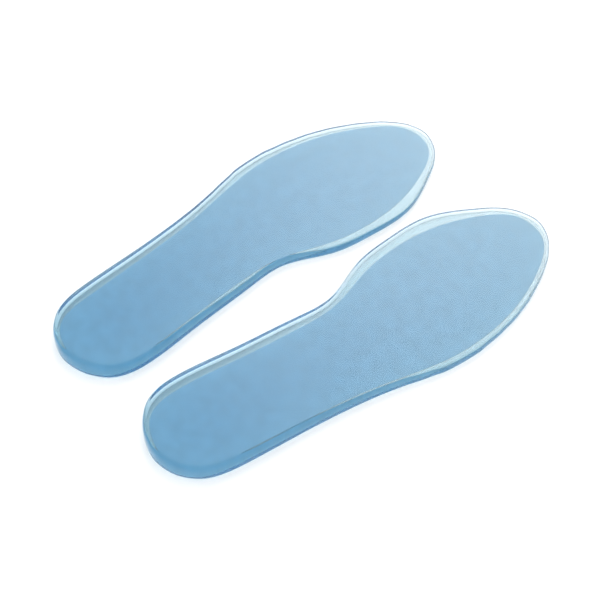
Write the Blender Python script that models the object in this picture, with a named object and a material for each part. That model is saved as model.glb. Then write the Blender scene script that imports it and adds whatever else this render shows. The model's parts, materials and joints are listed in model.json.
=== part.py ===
"""A pair of cushioned gel insoles, left and right, lying flat side by side with their toes towards +Y.

Each insole is three bonded layers: a clear base film, a thin blue backing sheet, and a cast body of clear gel
that covers the backing and closes round its edge. The gel is a wedge, thick under the heel and thin at the
toes. Every layer bends at the ball of the foot, so it is made in two pieces, rearfoot and forefoot, which meet
at the ball line. Metres, +Z up, origin at the middle of the
pair's base.
"""

import math

import bmesh
import bpy
import numpy as np
from mathutils import Matrix, Vector

MM = 0.001

# Driving sizes
LENGTH = 260 * MM            # heel tip to toe tip
HEEL_SPACING = 80.7 * MM     # between the two heel tips, across
HEEL_STAGGER = 3.5 * MM      # the right insole lies this far ahead of the left
TOE_OUT = math.radians(1.50) # each insole is turned outwards by this angle

# Half widths either side of the heel-to-toe line, at shares of the length: the gel's outer edge, then the
# backing's, which leaves a clear rim round it
STATIONS = (0.045, 0.13, 0.26, 0.40, 0.50, 0.60, 0.70, 0.81, 0.91, 0.97)
GEL_MEDIAL = (25.7, 31.8, 28.9, 26.1, 25.9, 36.3, 40.5, 40.1, 28.9, 17.9)
GEL_LATERAL = (22.1, 28.9, 31.6, 35.7, 41.0, 47.0, 46.6, 40.6, 28.8, 16.8)
BACKING_MEDIAL = (21.0, 26.2, 23.4, 20.7, 21.4, 29.6, 33.9, 32.1, 23.4, 12.5)
BACKING_LATERAL = (18.0, 23.6, 26.8, 31.0, 36.4, 41.6, 42.0, 36.5, 25.0, 12.6)
HEEL_RIM = 4.0 * MM          # from the gel's heel tip to the backing's
TOE_RIM = 4.0 * MM
OUTLINE_POINTS = 80
SPAN_STEPS = 40              # steps along the spline from one station to the next

# Layers, from the floor up
GAP = 0.3 * MM               # left between bonded faces
BASE_FILM = 0.3 * MM
BASE_INSET = 1.6 * MM        # from the gel's outer edge to the base film's
BACKING = 0.5 * MM
HEEL_THICKNESS = 10.5 * MM   # floor to the gel's flat top, at the heel tip
TOE_THICKNESS = 3.3 * MM     # at the toe tip
EDGE_HEIGHT = 1.6 * MM       # where the gel is widest

# The ball line, where the foot's toe joints bend the insole. It is further forward on the medial side.
BALL_SHARE = 0.66
BALL_ANGLE = math.radians(12)

GEL_BOTTOM = BASE_FILM + GAP
BACKING_TOP = GEL_BOTTOM + BACKING

# The gel's lower wall, as (inset from the outline, height)
LOWER_WALL = (
    (1.0 * MM, GEL_BOTTOM),
    (0.3 * MM, 0.85 * MM),
    (0.0 * MM, EDGE_HEIGHT),
)

# Its upper wall and shoulder, as (inset as a share of the thickness there, share of the way from the widest
# height to the top)
UPPER_WALL = (
    (0.01, 0.50),
    (0.02, 0.70),
    (0.045, 0.85),
    (0.09, 0.94),
    (0.16, 0.985),
    (0.30, 1.00),
)

SHARP_ANGLE = math.radians(35)
EMPTY_SIZE = 20 * MM

FINISHES = {
    "gel": dict(colour=(0.40, 0.68, 0.84, 1), roughness=0.06, transmission=0.9),
    "backing": dict(colour=(0.14, 0.38, 0.54, 1), roughness=0.5, transmission=0.0),
    "base_film": dict(colour=(0.80, 0.90, 0.95, 1), roughness=0.15, transmission=0.8),
}


def clear_objects():
    for old in list(bpy.data.objects):
        bpy.data.objects.remove(old)


def material(layer):
    finish = FINISHES[layer]
    made = bpy.data.materials.new(layer)
    made.use_nodes = True
    shader = made.node_tree.nodes["Principled BSDF"]
    shader.inputs["Base Color"].default_value = finish["colour"]
    shader.inputs["Roughness"].default_value = finish["roughness"]
    shader.inputs["Metallic"].default_value = 0
    shader.inputs["Transmission Weight"].default_value = finish["transmission"]
    return made


def smooth_loop(points, count):
    """A closed cubic spline through points, read at count even steps of its length."""
    corners = np.array(points)
    size = len(corners)
    chords = np.sqrt(np.linalg.norm(np.roll(corners, -1, 0) - corners, axis=1))
    before = np.roll(chords, 1)
    system = np.zeros((size, size))
    for i in range(size):
        system[i, i - 1] = chords[i]
        system[i, i] = 2 * (before[i] + chords[i])
        system[i, (i + 1) % size] = before[i]
    rises = (np.roll(corners, -1, 0) - corners) / chords[:, None]
    pull = 3 * (chords[:, None] * np.roll(rises, 1, 0) + before[:, None] * rises)
    slopes = np.linalg.solve(system, pull)
    dense = []
    for i in range(size):
        start, end = corners[i], corners[(i + 1) % size]
        lead, trail = slopes[i] * chords[i], slopes[(i + 1) % size] * chords[i]
        for t in np.linspace(0, 1, SPAN_STEPS, endpoint=False):
            dense.append(
                start * (2 * t**3 - 3 * t**2 + 1)
                + lead * (t**3 - 2 * t**2 + t)
                + end * (3 * t**2 - 2 * t**3)
                + trail * (t**3 - t**2)
            )
    closed = np.array(dense + dense[:1])
    run = np.append(0, np.cumsum(np.linalg.norm(np.diff(closed, axis=0), axis=1)))
    steps = np.linspace(0, run[-1], count, endpoint=False)
    return np.column_stack([np.interp(steps, run, closed[:, axis]) for axis in (0, 1)])


def outline(medial, lateral, heel, toe):
    """A closed edge in the insole's own frame: gel's heel tip at the origin, toes along +Y, lateral side at +X."""
    right = [(half * MM, share * LENGTH) for half, share in zip(lateral, STATIONS)]
    left = [(-half * MM, share * LENGTH) for half, share in zip(medial, STATIONS)]
    return smooth_loop([(0, heel), *right, (0, toe), *reversed(left)], OUTLINE_POINTS)


def gel_edge():
    return outline(GEL_MEDIAL, GEL_LATERAL, 0, LENGTH)


def backing_edge():
    return outline(BACKING_MEDIAL, BACKING_LATERAL, HEEL_RIM, LENGTH - TOE_RIM)


def inset(edge, distance):
    """The edge moved inwards by distance, square to itself. The edge runs anticlockwise."""
    along = np.roll(edge, -1, 0) - np.roll(edge, 1, 0)
    inwards = np.column_stack([-along[:, 1], along[:, 0]])
    return edge + (distance * inwards.T / np.linalg.norm(inwards, axis=1)).T


def level(edge, height):
    """The edge as a ring of points, all at one height."""
    return np.column_stack([edge, np.full(len(edge), height)])


def thickness(y):
    return HEEL_THICKNESS + (TOE_THICKNESS - HEEL_THICKNESS) * y / LENGTH


def gel_rings():
    """The gel's rings: the recess that holds the backing, the underside, the outer edge and the shoulder."""
    recess, edge = inset(backing_edge(), -GAP), gel_edge()
    rings = [level(recess, BACKING_TOP + GAP), level(recess, GEL_BOTTOM)]
    rings += [level(inset(edge, distance), height) for distance, height in LOWER_WALL]
    for inset_share, height_share in UPPER_WALL:
        ring = inset(edge, inset_share * thickness(edge[:, 1]))
        rise = height_share * (thickness(ring[:, 1]) - EDGE_HEIGHT)
        rings.append(np.column_stack([ring, EDGE_HEIGHT + rise]))
    return rings


def backing_rings():
    return [level(backing_edge(), GEL_BOTTOM), level(backing_edge(), BACKING_TOP)]


def base_film_rings():
    edge = inset(gel_edge(), BASE_INSET)
    return [level(edge, 0.0), level(edge, BASE_FILM)]


def layer_shell(rings):
    """A closed shell through rings of points, from the first ring's cap to the last one's."""
    shell = bmesh.new()
    loops = [[shell.verts.new(point) for point in ring] for ring in rings]
    for lower, upper in zip(loops, loops[1:]):
        for i in range(OUTLINE_POINTS):
            j = (i + 1) % OUTLINE_POINTS
            shell.faces.new((lower[i], lower[j], upper[j], upper[i]))
    shell.faces.new(tuple(reversed(loops[0])))
    shell.faces.new(loops[-1])
    return shell


def cut_at_ball(shell, keep_front):
    """Keeps the part of the shell ahead of the ball line, or behind it, and closes the cut face."""
    side = 1 if keep_front else -1
    ahead = Vector((math.sin(BALL_ANGLE), math.cos(BALL_ANGLE), 0))
    cut_point = Vector((0, BALL_SHARE * LENGTH, 0)) + ahead * side * GAP / 2
    everything = shell.verts[:] + shell.edges[:] + shell.faces[:]
    cut = bmesh.ops.bisect_plane(
        shell, geom=everything, plane_co=cut_point, plane_no=ahead * side, clear_inner=True
    )
    rim = [item for item in cut["geom_cut"] if isinstance(item, bmesh.types.BMEdge)]
    bmesh.ops.contextual_create(shell, geom=rim)


def half_layer(rings, keep_front, mirrored):
    """One layer's part behind or ahead of the ball line, in the insole's own frame."""
    shell = layer_shell(rings)
    cut_at_ball(shell, keep_front)
    if mirrored:
        bmesh.ops.scale(shell, vec=(-1, 1, 1), verts=shell.verts)
    bmesh.ops.recalc_face_normals(shell, faces=shell.faces)
    return shell


def add_piece(name, shell, place, parent, paint):
    """One node: the shell placed in the pair and parented to its joint's empty."""
    bmesh.ops.transform(shell, matrix=parent.matrix_world.inverted() @ place, verts=shell.verts)
    mesh = bpy.data.meshes.new(name)
    shell.to_mesh(mesh)
    shell.free()
    mesh.materials.append(paint)
    mesh.shade_smooth()
    mesh.set_sharp_from_angle(angle=SHARP_ANGLE)
    piece = bpy.data.objects.new(name, mesh)
    bpy.context.collection.objects.link(piece)
    piece.parent = parent


def add_empty(name, place):
    empty = bpy.data.objects.new(name, None)
    empty.empty_display_size = EMPTY_SIZE
    bpy.context.collection.objects.link(empty)
    empty.matrix_world = place
    bpy.context.view_layer.update()
    return empty


def placement(side):
    """Where an insole's own frame lies in the pair, with the heel tips' midpoint at the origin."""
    heel = Matrix.Translation((side * HEEL_SPACING / 2, side * HEEL_STAGGER / 2, 0))
    return heel @ Matrix.Rotation(-side * TOE_OUT, 4, "Z")


def pair_centre():
    """The middle of the box around both insoles, seen from above."""
    corners = []
    for side in (-1, 1):
        place = placement(side)
        corners += [place @ Vector((side * x, y, 0)) for x, y in gel_edge()]
    spans = [[corner[axis] for corner in corners] for axis in (0, 1)]
    return Vector(((min(spans[0]) + max(spans[0])) / 2, (min(spans[1]) + max(spans[1])) / 2, 0))


def build():
    clear_objects()
    layers = {"gel": gel_rings(), "backing": backing_rings(), "base_film": base_film_rings()}
    paints = {layer: material(layer) for layer in layers}
    recentre = Matrix.Translation(-pair_centre())
    ball = BALL_SHARE * LENGTH
    for hand, side in (("left", -1), ("right", 1)):
        place = recentre @ placement(side)
        ball_line = Matrix.Translation((0, ball, thickness(ball))) @ Matrix.Rotation(-side * BALL_ANGLE, 4, "Z")
        rearfoot = add_empty(f"{hand}_insole", place)
        forefoot = add_empty(f"{hand}_ball_line", place @ ball_line)
        for layer, rings in layers.items():
            for half, keep_front, parent in (("rearfoot", False, rearfoot), ("forefoot", True, forefoot)):
                shell = half_layer(rings, keep_front, mirrored=side < 0)
                add_piece(f"{hand}_{layer}_{half}", shell, place, parent, paints[layer])


build()
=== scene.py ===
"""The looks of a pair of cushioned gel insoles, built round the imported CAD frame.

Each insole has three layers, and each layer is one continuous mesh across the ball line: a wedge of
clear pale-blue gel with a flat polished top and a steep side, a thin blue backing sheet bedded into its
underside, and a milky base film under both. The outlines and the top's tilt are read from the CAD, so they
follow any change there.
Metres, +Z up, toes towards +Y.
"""

import json
import math

import bmesh
import bpy
import numpy as np
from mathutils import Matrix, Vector, noise
from mathutils.geometry import delaunay_2d_cdt


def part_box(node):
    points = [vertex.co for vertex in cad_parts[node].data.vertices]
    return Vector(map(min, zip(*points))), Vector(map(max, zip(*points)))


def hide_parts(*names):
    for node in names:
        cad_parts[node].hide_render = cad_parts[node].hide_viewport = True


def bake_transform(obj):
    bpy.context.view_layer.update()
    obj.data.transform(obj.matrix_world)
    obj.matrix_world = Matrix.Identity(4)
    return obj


MM = 0.001

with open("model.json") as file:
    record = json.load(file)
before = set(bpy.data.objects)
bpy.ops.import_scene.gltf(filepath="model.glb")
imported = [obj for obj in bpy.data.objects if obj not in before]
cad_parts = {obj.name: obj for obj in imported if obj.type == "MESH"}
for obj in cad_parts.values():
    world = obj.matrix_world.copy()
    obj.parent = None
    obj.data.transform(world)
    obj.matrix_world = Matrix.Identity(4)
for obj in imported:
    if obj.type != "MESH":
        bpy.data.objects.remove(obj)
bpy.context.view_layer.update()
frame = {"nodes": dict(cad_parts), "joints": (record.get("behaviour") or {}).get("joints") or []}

# Reading the CAD
SAME_HEIGHT = 0.01 * MM      # points this near a height count as on it
CUT_WIDTH = 0.2 * MM         # points this near the ball line count as on its cut
FACING_UP = 0.9              # least upward part of the normal of a top face

# Mesh fineness
EDGE_POINTS = 480            # round each insole's outline
GRID_STEP = 3.5 * MM         # between points across the flat faces
BEVEL_STEPS = 10             # rings up the underside's rounding
SHOULDER_STEPS = 28          # rings up the side and shoulder
SAME_POINT = 1e-7            # metres; points of a cap nearer than this are one
SHARP_ANGLE = math.radians(30)

# The gel's section: the rounded edge of its underside, then the side and shoulder in one curve
WALL_BEVEL = 2.2 * MM        # width of the underside's rounding
BEVEL_POWER = 2.0            # 2 is an ellipse; more is squarer
SHOULDER = 0.30              # width of the upper curve, as a share of the thickness there
SHOULDER_POWER = 4.0
WALL_FADE = 8                # the polished top turns into the duller side within the top 1/8 of the height
GEL_FLOOR = 0.35 * MM        # underside of the gel, on the base film

# The backing is bedded into the gel by this much, because bonded layers have no air between them
BEDDING = 0.15 * MM

# The cast surface isn't perfectly flat: long low waves, all below the CAD's top
WAVE_HEIGHT = 0.10 * MM
WAVE_LENGTH = 38 * MM
WAVE_FADE = 4                # the power of the height's share; more keeps the waves nearer the top

# Colours
GEL_ABSORPTION = (0.050, 0.018, 0.007)   # red, green, blue, per millimetre
BACKING_COLOUR = (0.35, 0.56, 0.70)
FILM_COLOUR = (0.92, 0.98, 1)
FILM_CLARITY = 0.55          # the share of light that passes through; the rest is scattered
REFRACTION = 1.45            # of the gel and the film
BACKING_MOTTLE = (0.94, 1.06)            # darkest and lightest, as shares of its colour

# Roughness, as ranges. The gel's side and underside are duller than its top by WALL_ROUGHNESS
TOP_ROUGHNESS = (0.04, 0.09)
WALL_ROUGHNESS = 0.12
BACKING_ROUGHNESS = (0.55, 0.75)
FILM_ROUGHNESS = (0.02, 0.06)
FLOOR_ROUGHNESS = 0.9

# Noise: the range its values mostly fall in
NOISE_LOW = 0.3
NOISE_HIGH = 0.7

# The studio: an even white surround, brighter behind the toes and dimmer towards the horizon
GLOW_AZIMUTH = math.radians(42.1)       # anticlockwise from +Y
GLOW_ELEVATION = math.radians(45.1)
GLOW_TIGHTNESS = 30                     # more is narrower
GLOW_STRENGTH = 4.1                     # added to the surround at the glow's middle
SURROUND_STRENGTH = 1.27
HORIZON_SHARE = 0.55                    # of the surround's strength, down at the horizon
HORIZON_REACH = math.radians(30)        # elevation where the dimming ends
FLOOR_BRIGHTNESS = 0.95
FLOOR_WIDTH = 6                         # metres

FLOOR_CLEARANCE = 0.03 * MM  # between the base film and the floor
FILM_CLEARANCE = 0.02 * MM   # between the base film and the backing

# The camera looks down on the pair from the lateral side of the right heel
CAMERA_AZIMUTH = math.radians(51.87)    # anticlockwise from +Y
CAMERA_ELEVATION = math.radians(52.54)
CAMERA_DISTANCE = 0.6716
CAMERA_TARGET = Vector((0.00581, -0.00906, 0))
CAMERA_LENS = 73.8                      # mm, on the 36 mm sensor


def cad_edge(hand, layer):
    """A layer's outline from above, without the ball line's cut, and its height: the CAD's widest ring."""
    joint = next(j for j in frame["joints"] if j["name"] == f"{hand}_ball_flex")
    pivot, ahead = np.array(joint["pos_m"][:2]), ball_direction(joint)
    points = []
    for half in ("rearfoot", "forefoot"):
        places = np.array([v.co for v in frame["nodes"][f"{hand}_{layer}_{half}"].data.vertices])
        widest = places[places[:, 0].argmin(), 2]
        ring = places[np.abs(places[:, 2] - widest) < SAME_HEIGHT]
        points.append(ring[np.abs((ring[:, :2] - pivot) @ ahead) > CUT_WIDTH, :2])
    points = np.unique(np.round(np.vstack(points), 6), axis=0)    # each place once, to the micrometre
    spokes = points - points.mean(0)
    around = points[np.argsort(np.arctan2(spokes[:, 1], spokes[:, 0]))]
    return smooth_loop(around, EDGE_POINTS), widest


def cad_top(hand):
    """The height of the gel's flat, tilted top over any point: the plane of the CAD's largest upper face."""
    faces = frame["nodes"][f"{hand}_gel_rearfoot"].data.polygons
    top = max((face for face in faces if face.normal.z > FACING_UP), key=lambda face: face.area)
    middle, slope = Vector(top.center), top.normal.xy / top.normal.z

    def height(x, y):
        return middle.z - slope.x * (x - middle.x) - slope.y * (y - middle.y)

    return height


def ball_direction(joint):
    """Towards the toes, square to the ball line."""
    x, y, _ = joint["axis"]
    return np.array([-y, x])


def smooth_loop(points, count):
    """The closed curve through evenly spaced points, as a Fourier series read at count even steps."""
    series = np.fft.fft(points[:, 0] + 1j * points[:, 1])
    half = len(points) // 2
    longer = np.zeros(count, complex)
    longer[:half] = series[:half]
    longer[-half + 1:] = series[-half + 1:]
    curve = np.fft.ifft(longer) * count / len(points)
    return np.column_stack([curve.real, curve.imag])


def inset(edge, distance):
    """The edge moved inwards by distance, square to itself. The edge runs anticlockwise."""
    along = np.roll(edge, -1, 0) - np.roll(edge, 1, 0)
    inwards = np.column_stack([-along[:, 1], along[:, 0]])
    return edge + distance * inwards / np.linalg.norm(inwards, axis=1)[:, None]


def points_within(ring, step):
    """Even grid points inside a ring, clear of it by half a step."""
    loop = ring[:, 0] + 1j * ring[:, 1]
    xs = np.arange(ring[:, 0].min(), ring[:, 0].max(), step)
    ys = np.arange(ring[:, 1].min(), ring[:, 1].max(), step)
    grid = (xs[None, :] + 1j * ys[:, None]).ravel()
    spokes = loop[None, :] - grid[:, None]
    turns = np.angle(np.roll(spokes, -1, 1) / spokes).sum(1)
    kept = grid[(turns > math.pi) & (np.abs(spokes).min(1) > step / 2)]
    return [Vector((p.real, p.imag)) for p in kept]


def add_cap(shell, ring, height, facing_up):
    """Closes a ring with a fine face at height(x, y), so that it can wave."""
    rim = [Vector(v.co.xy) for v in ring]
    inner = points_within(np.array(rim), GRID_STEP)
    loop = [(i, (i + 1) % len(rim)) for i in range(len(rim))]
    flat, _, faces, origins, _, _ = delaunay_2d_cdt(rim + inner, loop, [], 1, SAME_POINT)
    corners = []
    for place, origin in zip(flat, origins):
        on_rim = [i for i in origin if i < len(ring)]
        corners.append(ring[on_rim[0]] if on_rim else shell.verts.new((*place, height(*place))))
    for face in faces:
        order = face if facing_up else tuple(reversed(face))
        shell.faces.new([corners[i] for i in order])


def level(edge, height):
    """The edge as a ring of points, all at one height."""
    return np.column_stack([edge, np.full(len(edge), height)])


def layer_shell(rings, top):
    """A closed shell through rings of points, capped below at their own height and above at top(x, y)."""
    shell = bmesh.new()
    loops = [[shell.verts.new(point) for point in ring] for ring in rings]
    for lower, upper in zip(loops, loops[1:]):
        for i in range(EDGE_POINTS):
            j = (i + 1) % EDGE_POINTS
            shell.faces.new((lower[i], lower[j], upper[j], upper[i]))
    add_cap(shell, loops[0], lambda x, y: rings[0][0, 2], facing_up=False)
    add_cap(shell, loops[-1], top, facing_up=True)
    bmesh.ops.recalc_face_normals(shell, faces=shell.faces)
    return shell


def quarter(power, steps):
    """Shares (across, up) along a quarter of a superellipse, from its side to its top."""
    turns = np.linspace(0, math.pi / 2, steps)
    return [(1 - max(math.cos(t), 0) ** (2 / power), math.sin(t) ** (2 / power)) for t in turns]


def gel_rings(edge, widest, top):
    """The underside's rounded edge up to the widest height, then the upper curve, scaled by the thickness."""
    rings = [
        level(inset(edge, WALL_BEVEL * across), widest - (widest - GEL_FLOOR) * up)
        for across, up in reversed(quarter(BEVEL_POWER, BEVEL_STEPS))
    ]
    thickness = top(edge[:, 0], edge[:, 1])
    for across, up in quarter(SHOULDER_POWER, SHOULDER_STEPS)[1:]:
        ring = inset(edge, (SHOULDER * across * thickness)[:, None])
        climb = up * (top(ring[:, 0], ring[:, 1]) - widest)
        rings.append(np.column_stack([ring, widest + climb]))
    return rings


def rise(vert, widest, top):
    """How far up the side a point is: 0 where the gel is widest, 1 at the top."""
    return (vert.co.z - widest) / (top(vert.co.x, vert.co.y) - widest)


def add_waves(shell, widest, top, seed):
    """Lets the top sink and swell a little, fading out down the shoulder."""
    for vert in shell.verts:
        share = max(0.0, rise(vert, widest, top)) ** WAVE_FADE
        wave = noise.noise(Vector((*vert.co.xy, seed)) / WAVE_LENGTH)
        vert.co.z -= WAVE_HEIGHT * share * (0.5 + 0.5 * wave)


def mark_wall(mesh, widest, top):
    """Tells the gel's material how far each point belongs to the side: 1 up to the shoulder, 0 on the top."""
    rises = np.array([rise(vert, widest, top) for vert in mesh.vertices])
    wall = mesh.attributes.new("wall", "FLOAT", "POINT")
    wall.data.foreach_set("value", np.clip(WALL_FADE * (1 - rises), 0, 1))


def add_piece(name, shell, paint):
    """Turns a shell into a named piece, smooth except at its sharp edges."""
    mesh = bpy.data.meshes.new(name)
    shell.to_mesh(mesh)
    shell.free()
    mesh.materials.append(paint)
    mesh.shade_smooth()
    mesh.set_sharp_from_angle(angle=SHARP_ANGLE)
    piece = bpy.data.objects.new(name, mesh)
    bpy.context.scene.collection.objects.link(piece)
    return piece


def new_material(name):
    made = bpy.data.materials.new(name)
    made.use_nodes = True
    nodes = made.node_tree.nodes
    return made, nodes, made.node_tree.links, nodes["Principled BSDF"], nodes["Material Output"]


def noise_node(nodes, links, scale, detail):
    """Noise that sticks to the piece: it reads the piece's own coordinates."""
    place = nodes.new("ShaderNodeTexCoord")
    made = nodes.new("ShaderNodeTexNoise")
    made.inputs["Scale"].default_value = scale
    made.inputs["Detail"].default_value = detail
    links.new(place.outputs["Object"], made.inputs["Vector"])
    return made


def add_bump(nodes, links, shader, height, strength, distance):
    bump = nodes.new("ShaderNodeBump")
    bump.inputs["Strength"].default_value = strength
    bump.inputs["Distance"].default_value = distance
    links.new(height, bump.inputs["Height"])
    links.new(bump.outputs["Normal"], shader.inputs["Normal"])


def spread_value(nodes, links, source, low, high, target):
    """Feeds a socket with noise, spread between low and high."""
    spread = nodes.new("ShaderNodeMapRange")
    spread.inputs["From Min"].default_value = NOISE_LOW
    spread.inputs["From Max"].default_value = NOISE_HIGH
    spread.inputs["To Min"].default_value = low
    spread.inputs["To Max"].default_value = high
    links.new(source, spread.inputs["Value"])
    links.new(spread.outputs["Result"], target)


def gel_material():
    """Clear gel, coloured by its depth; its faintly rippled skin is polished on top and duller below."""
    made, nodes, links, shader, output = new_material("clear_gel")
    shader.inputs["Base Color"].default_value = (1, 1, 1, 1)
    shader.inputs["IOR"].default_value = REFRACTION
    shader.inputs["Transmission Weight"].default_value = 1
    ripple = noise_node(nodes, links, scale=160, detail=2)
    add_bump(nodes, links, shader, ripple.outputs["Fac"], strength=0.04, distance=0.4 * MM)
    wall = nodes.new("ShaderNodeAttribute")
    wall.attribute_name = "wall"
    blur = nodes.new("ShaderNodeMath")
    blur.operation = "MULTIPLY_ADD"
    links.new(wall.outputs["Fac"], blur.inputs[0])
    blur.inputs[1].default_value = WALL_ROUGHNESS
    spread_value(nodes, links, ripple.outputs["Fac"], *TOP_ROUGHNESS, blur.inputs[2])
    links.new(blur.outputs["Value"], shader.inputs["Roughness"])
    depth = nodes.new("ShaderNodeVolumeAbsorption")
    strongest = max(GEL_ABSORPTION)
    depth.inputs["Color"].default_value = (*(1 - share / strongest for share in GEL_ABSORPTION), 1)
    depth.inputs["Density"].default_value = strongest / MM
    links.new(depth.outputs["Volume"], output.inputs["Volume"])
    return made


def backing_material():
    """Satin blue sheet with a fine, cloudy mottle."""
    made, nodes, links, shader, _ = new_material("blue_backing")
    shader.inputs["Specular IOR Level"].default_value = 0
    cloud = noise_node(nodes, links, scale=140, detail=6)
    tint = nodes.new("ShaderNodeValToRGB")
    tint.color_ramp.elements[0].position = NOISE_LOW
    tint.color_ramp.elements[1].position = NOISE_HIGH
    for element, share in zip(tint.color_ramp.elements, BACKING_MOTTLE):
        element.color = (*(share * value for value in BACKING_COLOUR), 1)
    links.new(cloud.outputs["Fac"], tint.inputs["Fac"])
    links.new(tint.outputs["Color"], shader.inputs["Base Color"])
    spread_value(nodes, links, cloud.outputs["Fac"], *BACKING_ROUGHNESS, shader.inputs["Roughness"])
    add_bump(nodes, links, shader, cloud.outputs["Fac"], strength=0.1, distance=0.1 * MM)
    return made


def film_material():
    """Thin milky plastic film: part of the light passes straight through it and the rest is scattered."""
    made, nodes, links, shader, _ = new_material("clear_film")
    shader.inputs["Base Color"].default_value = (*FILM_COLOUR, 1)
    shader.inputs["IOR"].default_value = REFRACTION
    shader.inputs["Transmission Weight"].default_value = FILM_CLARITY
    haze = noise_node(nodes, links, scale=180, detail=4)
    spread_value(nodes, links, haze.outputs["Fac"], *FILM_ROUGHNESS, shader.inputs["Roughness"])
    add_bump(nodes, links, shader, haze.outputs["Fac"], strength=0.05, distance=0.1 * MM)
    return made


def bend(piece, hand, layer):
    """Bakes a layer's placement into its mesh and hides the layer's two CAD nodes."""
    joint = next(j for j in frame["joints"] if j["name"] == f"{hand}_ball_flex")
    ahead = Vector((*ball_direction(joint), 0)).normalized()
    pivot = Vector(joint["pos_m"])
    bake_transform(piece)
    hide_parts(f"{hand}_{layer}_rearfoot", f"{hand}_{layer}_forefoot")


def add_sheet(hand, layer, low, high, paint):
    """One of the two flat layers, between two heights, cut to the CAD's outline."""
    edge, _ = cad_edge(hand, layer)
    shell = layer_shell([level(edge, low), level(edge, high)], lambda x, y: high)
    sheet = add_piece(f"{hand}_{layer}", shell, paint)
    bend(sheet, hand, layer)


def add_insole(hand, seed, paints):
    """One insole's gel, backing and base film. The seed gives each hand its own waves."""
    edge, widest = cad_edge(hand, "gel")
    top = cad_top(hand)
    shell = layer_shell(gel_rings(edge, widest, top), top)
    add_waves(shell, widest, top, seed)
    gel = add_piece(f"{hand}_gel", shell, paints["gel"])
    mark_wall(gel.data, widest, top)
    bend(gel, hand, "gel")
    film_low, film_high = (corner.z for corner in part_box(f"{hand}_base_film_rearfoot"))
    low, high = film_high + FILM_CLEARANCE, GEL_FLOOR + BEDDING
    add_sheet(hand, "backing", low, high, paints["backing"])
    add_sheet(hand, "base_film", film_low, film_high, paints["base_film"])


def add_floor():
    bpy.ops.mesh.primitive_plane_add(size=FLOOR_WIDTH)
    floor = bpy.context.object
    floor.name = "floor"
    floor.location.z = -FLOOR_CLEARANCE
    made, nodes, links, shader, _ = new_material("studio_floor")
    shader.inputs["Base Color"].default_value = (FLOOR_BRIGHTNESS, FLOOR_BRIGHTNESS, FLOOR_BRIGHTNESS, 1)
    shader.inputs["Roughness"].default_value = FLOOR_ROUGHNESS
    shader.inputs["Specular IOR Level"].default_value = 0
    floor.data.materials.append(made)


def towards(azimuth, elevation):
    """A direction from its azimuth, anticlockwise from +Y, and its elevation."""
    along = math.cos(elevation)
    return Vector((-math.sin(azimuth) * along, math.cos(azimuth) * along, math.sin(elevation)))


def add_surround():
    """Soft white light from all round, with a broad glow behind the toes, dimming towards the horizon."""
    world = bpy.data.worlds.new("studio")
    bpy.context.scene.world = world
    world.use_nodes = True
    nodes, links = world.node_tree.nodes, world.node_tree.links
    background = nodes["Background"]
    background.inputs["Color"].default_value = (1, 1, 1, 1)
    place = nodes.new("ShaderNodeTexCoord")
    nearness = nodes.new("ShaderNodeVectorMath")
    nearness.operation = "DOT_PRODUCT"
    nearness.inputs[1].default_value = towards(GLOW_AZIMUTH, GLOW_ELEVATION)
    links.new(place.outputs["Generated"], nearness.inputs[0])
    ahead = nodes.new("ShaderNodeMath")
    ahead.operation = "MAXIMUM"
    links.new(nearness.outputs["Value"], ahead.inputs[0])
    ahead.inputs[1].default_value = 0
    glow = nodes.new("ShaderNodeMath")
    glow.operation = "POWER"
    links.new(ahead.outputs["Value"], glow.inputs[0])
    glow.inputs[1].default_value = GLOW_TIGHTNESS
    total = nodes.new("ShaderNodeMath")
    total.operation = "MULTIPLY_ADD"
    links.new(glow.outputs["Value"], total.inputs[0])
    total.inputs[1].default_value = GLOW_STRENGTH
    total.inputs[2].default_value = SURROUND_STRENGTH
    height = nodes.new("ShaderNodeSeparateXYZ")
    links.new(place.outputs["Generated"], height.inputs["Vector"])
    dimming = nodes.new("ShaderNodeMapRange")
    dimming.inputs["From Max"].default_value = math.sin(HORIZON_REACH)
    dimming.inputs["To Min"].default_value = HORIZON_SHARE
    links.new(height.outputs["Z"], dimming.inputs["Value"])
    strength = nodes.new("ShaderNodeMath")
    strength.operation = "MULTIPLY"
    links.new(total.outputs["Value"], strength.inputs[0])
    links.new(dimming.outputs["Result"], strength.inputs[1])
    links.new(strength.outputs["Value"], background.inputs["Strength"])


def add_camera():
    data = bpy.data.cameras.new("camera")
    data.lens = CAMERA_LENS
    camera = bpy.data.objects.new("camera", data)
    bpy.context.scene.collection.objects.link(camera)
    look = towards(CAMERA_AZIMUTH, -CAMERA_ELEVATION)
    camera.location = CAMERA_TARGET - look * CAMERA_DISTANCE
    camera.rotation_euler = look.to_track_quat("-Z", "Y").to_euler()
    bpy.context.scene.camera = camera
    bpy.context.scene.view_settings.view_transform = "Standard"


add_camera()
add_surround()
add_floor()
paints = {"gel": gel_material(), "backing": backing_material(), "base_film": film_material()}
for number, hand in enumerate(("left", "right")):
    add_insole(hand, number, paints)
